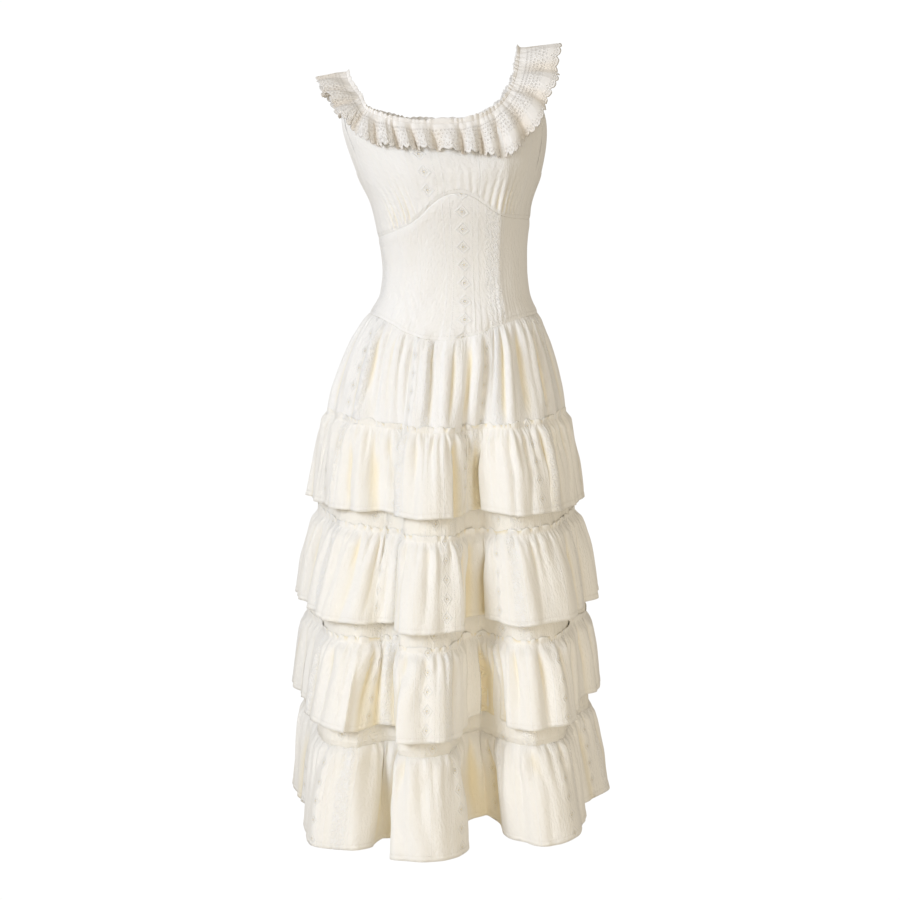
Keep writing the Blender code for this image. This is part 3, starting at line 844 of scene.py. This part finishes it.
# Painted shade: the valleys between the waves are tinted warmer and darker, more towards the free edge.
painted_shade = ease(1 - 1.6 * wave) * ease(fall / 0.5) * 0.8
lift = lift + crimp * crimping + 0.0026 * np.clip(-share, 0, 1) * (1 + 0.6 * patchy(across, 0, 60, 87))
lift = lift + 0.0026 * creases * ease(fall / 0.10) * (1 - 0.6 * wave)
slip = 0.0034 * np.sin(2 * phase) * ease(fall / 0.7)
grid = base + out * lift[..., None] + along * slip[..., None]
corner = np.exp(-(((turned - 92) / 20) ** 2))
grid = grid + (corner * np.clip(share, 0, 1) ** 1.4)[..., None] * np.array([0.006, 0.0, 0.014])
down = share * depth + np.where(share < 0, share * (RUFFLE_HEAD - depth), 0)
lace = eyelet_lace("eyelet_cotton_edging")
neck_ruffle = cloth("neck_ruffle_eyelet", grid, across * RUFFLE_FLAT, down, depth - down, lace,
                    ["ruffle_front", "ruffle_back_left", "ruffle_back_right"],
                    thickness=RUFFLE_SHELL, painted_shade=painted_shade)

# ---------------------------------------------------------------------------------------- Skirt panels
# The skirt is gathered into the waist seam and carries the first tier at its lower edge. The under-skirt
# goes on down from there behind the tiers, almost plain, and shows as a narrow band above each heading.

# Ruffle tiers: stitches at front, at sides, hem at front, at sides, stand-out at hem, height of the frill
TIERS = {
    "tier_1": (-0.580, -0.568, -0.709, -0.711, 0.014, 0.008),
    "tier_2": (-0.745, -0.734, -0.882, -0.876, 0.018, 0.008),
    "tier_3": (-0.913, -0.908, -1.045, -1.031, 0.018, 0.008),
    "tier_4": (-1.068, -1.064, -1.222, -1.212, 0.014, 0.000),
}
SKIRT_FLAT = 1.75
SKIRT_COLUMNS = 580
UNDER_SKIRT_COLUMNS = 340

# Folds of the skirt, fine to large: height, share of it at the waist, where it is whole, count, reach, seed
SKIRT_FOLDS = [
    (0.0016, 0.50, 0.01, 118, 0.030, 101),
    (0.0058, 0.25, 0.03, 52, 0.17, 102),
    (0.0070, 0.00, 0.06, 31, 0.60, 103),
]


def stitch_line(tier, turned):
    """Height of a tier's stitches: a cosine squared between the front and the sides."""
    front, side = TIERS[tier][:2]
    return side + (front - side) * np.cos(np.radians(turned)) ** 2


def even_round(count, level):
    """Angles once round the dress, spaced evenly along the folded cloth at a height."""
    fine = np.linspace(-180, 180, 3000)
    length = lengths(body(fine, np.full(3000, level)), 0)
    return np.interp(np.linspace(0, length[-1], count + 1), length, fine)


turned = even_round(SKIRT_COLUMNS, -0.56)
across = np.linspace(0, 1, SKIRT_COLUMNS + 1)[None]
share = np.linspace(0, 1, 44)[:, None] ** 1.25
start = waist_seam(turned) + LAP
end = stitch_line("tier_1", turned) - LAP
base = body(turned[None], start * (1 - share) + end * share)
down = lengths(base, 0)
above = down[-1:] - down
push = 0
for height, at_waist, whole, count, reach, seed in SKIRT_FOLDS:
    grown = at_waist + (1 - at_waist) * ease(down / whole)
    push = push + height * grown * gathers(across, down, count, reach, seed)
push = push * (0.35 + 0.65 * ease(above / 0.05)) * ease((down + 0.001) / 0.009)
# Painted shade: the valleys of the gathers are tinted warmer and darker.
painted_shade = ease(-push / 0.007)
push = push + 0.0008 * patchy(across, down / 0.04, 50, 104) * ease(down / 0.03)
push = push + seam_puff(down) + 0.0022 * ease(down / 0.02) * ease(above / 0.05)
grid = base + facing(base, closed=True) * push[..., None]
place = stripes(turned, across, SKIRT_FLAT, VINE_MIDDLE, 26.0)
skirt = cloth("skirt_cotton", grid, place, down, above, cream_cotton,
              ["skirt_front", "skirt_back_left", "skirt_back_right"], closed=True, painted_shade=painted_shade)

turned = even_round(UNDER_SKIRT_COLUMNS, -0.90)
across = np.linspace(0, 1, UNDER_SKIRT_COLUMNS + 1)[None]
share = np.linspace(0, 1, 40)[:, None]
start = stitch_line("tier_1", turned) + LAP
end = stitch_line("tier_4", turned) - 0.004
base = body(turned[None], start * (1 - share) + end * share)
down = lengths(base, 0)
push = 0.0010 * gathers(across, down, 70, 3.0, 111)
grid = base + facing(base, closed=True) * push[..., None]
# Painted shade: the whole under-skirt, which shows only in the shadow under the tier hems, is tinted warmer and
# darker all over.
under_skirt = cloth("under_skirt_cotton", grid, across * SKIRT_FLAT, down, down[-1:] - down, cream_cotton,
                    ["under_skirt_front", "under_skirt_back_left", "under_skirt_back_right"],
                    closed=True, painted_shade=0.25)

# ------------------------------------------------------------------------------------------------ Tiers
# Four gathered ruffles of the striped cotton, front and back lengths joined at the sides. Tiers 1 to 3
# are stitched over the under-skirt with a small frill above the stitches, and tier 4 ends it.

# Sharp edges of the pleats: tier, angle, step. Right of the edge the cloth lies that far in front, or behind
PLEAT_EDGES = np.array([
    (1, -23.0, 0.007),
    (1, 1.7, -0.010),
    (1, 20.7, 0.013),
    (1, 45.0, -0.007),
    (2, -62.0, 0.008),
    (2, -14.5, 0.009),
    (2, 4.1, -0.011),
    (2, 21.0, 0.014),
    (2, 52.5, -0.008),
    (3, -70.0, 0.008),
    (3, -32.2, -0.007),
    (3, -14.0, 0.013),
    (3, 17.4, -0.012),
    (3, 25.0, 0.010),
    (3, 46.6, -0.007),
    (4, -72.0, 0.008),
    (4, -26.2, -0.011),
    (4, -15.5, 0.013),
    (4, 3.8, -0.014),
    (4, 24.1, 0.012),
    (4, 64.0, -0.008),
])
TIER_FLAT = {"tier_1": 1.80, "tier_2": 2.05, "tier_3": 2.20, "tier_4": 2.45}
DIAMOND_COLUMN = {"tier_1": -24.0, "tier_2": -0.5, "tier_3": -6.0, "tier_4": 1.5}
TIER_COLUMNS = 800
TIER_WAVES = 20
TIER_CRIMPS = 64
TIER_LIFT = 0.0007
TIER_RISE = 0.0050
HEM_RISE = 0.12
HEM_FOLDED = 0.0004
PLEAT_SLIP = 0.0042

# Folds of a tier, fine to large: height, how far above the stitches they start, where they are whole, count,
# reach, and what is added to the tier's seed
TIER_FOLDS = [
    (0.0019, 0.001, 0.006, 140, 0.030, 0),
    (0.0056, 0.001, 0.018, 84, 0.065, 5),
    (0.0072, 0.000, 0.035, 47, 0.14, 10),
    (0.0050, 0.000, 0.06, 27, 0.60, 13),
]


def pleat_edges(turned, number):
    """For each angle, a tier's steps in and out at its pleat edges, and the slip that laps them."""
    step = 0 * turned
    slip = 0 * turned
    for tier_number, angle, height in PLEAT_EDGES:
        if tier_number == number:
            past = loop(turned - angle)
            step = step + 0.5 * height * np.tanh(past / 0.7) * np.exp(-((np.abs(past) / 10) ** 1.3))
            slip = slip - PLEAT_SLIP * past / 1.1 * np.exp(0.5 - 0.5 * (past / 1.1) ** 2)
    return step, slip


for number, tier in enumerate(TIERS, 1):
    hem_front, hem_side, stand, frill = TIERS[tier][2:]
    turned = even_round(TIER_COLUMNS, hem_front)
    radians = np.radians(turned)
    across = np.linspace(0, 1, TIER_COLUMNS + 1)[None]
    head = np.linspace(-1, -0.25, 4) if frill else np.zeros(0)
    share = np.concatenate([head, np.linspace(0, 1, 34) ** 1.1])[:, None]
    stitch = stitch_line(tier, turned)[None]
    hem = hem_side + (hem_front - hem_side) * np.cos(radians) ** 2
    hem = hem + HEM_RISE * np.maximum(-fold_push(turned, hem), 0)
    hem = hem + 0.0016 * patchy(across[0], 0, 46, 120 + number)
    fall_share = np.clip(share, 0, 1)
    crimp = ridges(np.pi * TIER_CRIMPS * across + 2.6 * patchy(across, 0, 46, 136 + number))
    height = stitch * (1 - fall_share) + hem[None] * fall_share
    uneven = 1 + 0.28 * patchy(across, 0, 110, 140 + number) + 0.30 * crimp
    height = height - np.minimum(share, 0) * frill * uneven
    base = body(turned[None], height)
    down = lengths(base, 0)
    down = down - down[len(head)]
    fall = np.maximum(down, 0)
    above = down[-1:] - down
    wave = np.cos(TIER_WAVES * radians + 0.8 * np.sin(2 * radians + number) + 1.7 * number)[None]
    seed = 200 + 20 * number
    push = 0
    for size, ahead, whole, count, reach, more in TIER_FOLDS:
        push = push + size * ease((fall + ahead) / whole) * gathers(across, fall, count, reach, seed + more)
    step, slip = pleat_edges(turned, number)
    grown = ease((fall_share + 0.02) / 0.6) * (share >= 0)
    push = push + step[None] * grown
    standing = np.clip(-share, 0, 1) * (1 - 0.85 * np.sin(radians) ** 4)[None]
    # Painted shade: the valleys of the folds and the gaps between the frill's crimps are tinted warmer and
    # darker. The 0.12 added to all of it is a warmer tone over the whole tier.
    painted_shade = ease(-push / 0.009) * (share >= 0) + ease(-crimp / 0.5) * standing
    painted_shade = np.clip(painted_shade, 0, 1) * 0.88 + 0.12
    push = push + 0.0008 * patchy(across, down / 0.03, 80, seed + 15) * ease(fall / 0.02)
    push = push + TIER_LIFT + TIER_RISE * ease(fall / 0.018)
    push = push - (0.0 if frill else 0.0034) * ease(1 - fall / 0.004)
    outward = base - np.stack([section(base[..., 2], 1), 0 * base[..., 1], base[..., 2]], axis=-1)
    outward /= np.linalg.norm(outward, axis=-1, keepdims=True)
    squarely = np.clip((facing(base, closed=True) * outward).sum(-1), 0, 1) ** 2
    crimped = 0.0016 + 0.0044 * crimp + 0.0010 * patchy(across, 0, 90, seed + 17)
    push = push + squarely * standing**0.7 * crimped
    push = push + HEM_FOLDED * (above < 0.009) - 0.0003 * np.exp(-(((above - 0.0095) / 0.001) ** 2))
    flare = (stand - 0.006) * fall_share**0.8 + 0.0035 * ease(fall_share / 0.6) * (1 + wave)
    along = np.cross(outward, (0, 0, -1.0))
    grid = base + facing(base, closed=True) * push[..., None] + outward * flare[..., None]
    grid = grid + along * (slip[None] * grown)[..., None]
    place = stripes(turned, across, TIER_FLAT[tier], DIAMOND_MIDDLE, DIAMOND_COLUMN[tier])
    piece = cloth(tier + "_cotton", grid, place, down, above, cream_cotton,
                  [tier + "_front", tier + "_back"], closed=True, painted_shade=painted_shade)

# --------------------------------------------------------------------------------------------- Zip pull
# The hidden zip down the centre back shows only its small drop-shaped pull, cast metal with a satin cream
# lacquer, which hangs from the slider just below the ruffle.

metal = bpy.data.materials.new("cream_lacquer")
metal.use_nodes = True
lacquer = metal.node_tree.nodes["Principled BSDF"]
lacquer.inputs["Base Color"].default_value = (0.90, 0.88, 0.82, 1)
lacquer.inputs["Roughness"].default_value = 0.34
place = metal.node_tree.nodes.new("ShaderNodeTexCoord")
rub = metal.node_tree.nodes.new("ShaderNodeTexNoise")
rub.inputs["Scale"].default_value = 900
rub_bump = metal.node_tree.nodes.new("ShaderNodeBump")
rub_bump.inputs["Distance"].default_value = 0.0001
rub_bump.inputs["Strength"].default_value = 0.4
metal.node_tree.links.new(place.outputs["Object"], rub.inputs["Vector"])
metal.node_tree.links.new(rub.outputs["Fac"], rub_bump.inputs["Height"])
metal.node_tree.links.new(rub_bump.outputs["Normal"], lacquer.inputs["Normal"])

PULL_HALF_LENGTH = 0.0049
PULL_HALF_WIDTH = 0.0019
PULL_SWELL = 0.0007
PULL_HALF_THICKNESS = 0.0006
PULL_SIDES = 32
PULL_RINGS = 11

low_corner, high_corner = (np.array(corner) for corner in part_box("zip_pull"))
seat = (low_corner + high_corner) / 2
seat_up = yoke(180.0, 0.50) - yoke(180.0, 0.42)
seat_up /= np.linalg.norm(seat_up)
seat_out = np.cross(seat_up, (1.0, 0.0, 0.0))
around = np.linspace(0, 2 * np.pi, PULL_SIDES + 1)[None]
crown = np.linspace(-np.pi / 2, np.pi / 2, PULL_RINGS)[:, None]
drop = PULL_HALF_WIDTH + PULL_SWELL * np.cos(around)
sideways = np.cos(crown) ** 0.5 * drop * np.sin(around)
upwards = -np.cos(crown) ** 0.5 * PULL_HALF_LENGTH * np.cos(around)
outwards = PULL_HALF_THICKNESS * np.sin(crown) + 0 * around
grid = seat + sideways[..., None] * np.array([-1.0, 0, 0])
grid = grid + upwards[..., None] * seat_up + outwards[..., None] * seat_out
ring = np.arange(PULL_RINGS - 1)[:, None] * PULL_SIDES
here = np.arange(PULL_SIDES)[None]
there = (here + 1) % PULL_SIDES
above = ring + PULL_SIDES
faces = np.stack([ring + here, ring + there, above + there, above + here], axis=-1).reshape(-1, 4).tolist()
mesh = bpy.data.meshes.new("zip_pull_drop")
mesh.from_pydata(grid[:, :-1].reshape(-1, 3).tolist(), [], faces)
mesh.materials.append(metal)
mesh.shade_smooth()
pull = bpy.data.objects.new("zip_pull_drop", mesh)
scene.collection.objects.link(pull)
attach(pull, "root")
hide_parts("zip_pull")
